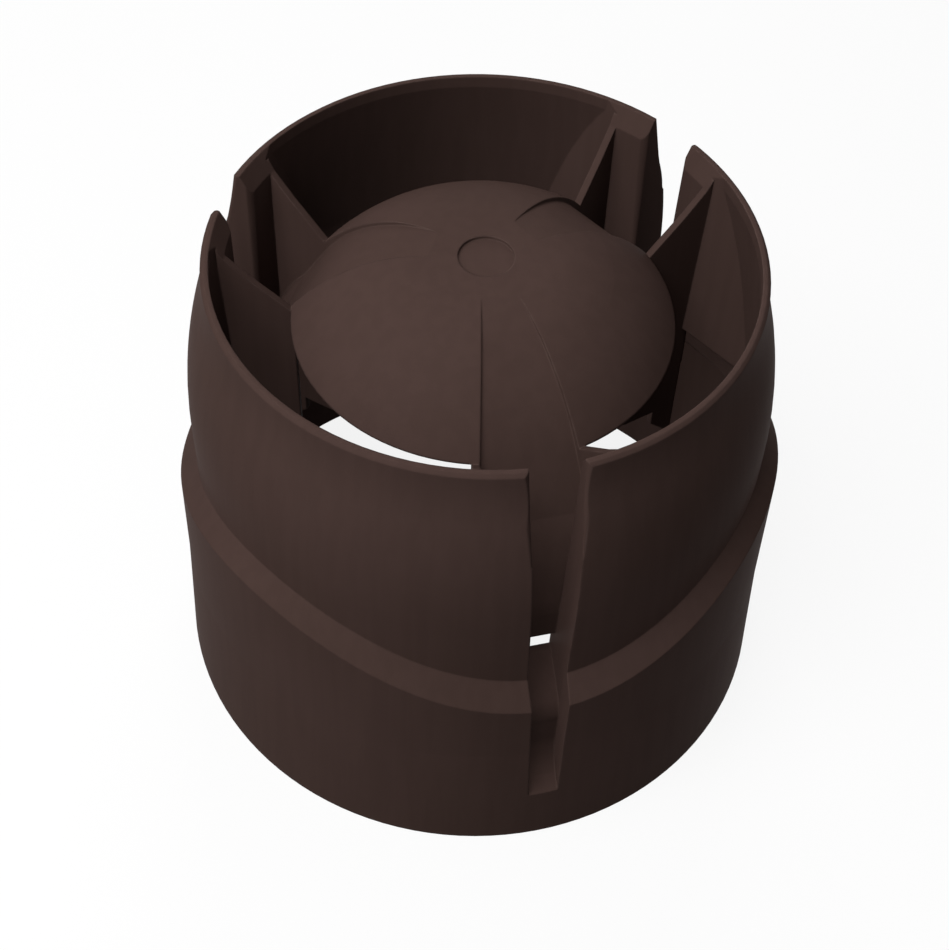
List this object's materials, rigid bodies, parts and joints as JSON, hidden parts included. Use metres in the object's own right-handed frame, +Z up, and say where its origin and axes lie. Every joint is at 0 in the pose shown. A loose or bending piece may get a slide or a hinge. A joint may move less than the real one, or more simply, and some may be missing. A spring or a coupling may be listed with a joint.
{
  "type": "vent pipe cap",
  "caption": "Rain cap for an upright vent pipe: domed lid on channelled arms inside a bulging round band with drain slots, over a flared sleeve",
  "frame": {"origin": "middle of the bottom edge, on the plane that the sleeve's edge stands on", "axes": "+Z runs up the pipe's axis to the rim; the first arm and its slot point to -Y, the others lie 120 degrees on"},
  "size_m": [0.1594, 0.1594, 0.134],
  "materials": {
    "brown_plastic": "satin moulded"
  },
  "bodies": {
    "root": {"vent_cap": "brown_plastic"}
  },
  "joints": []
}
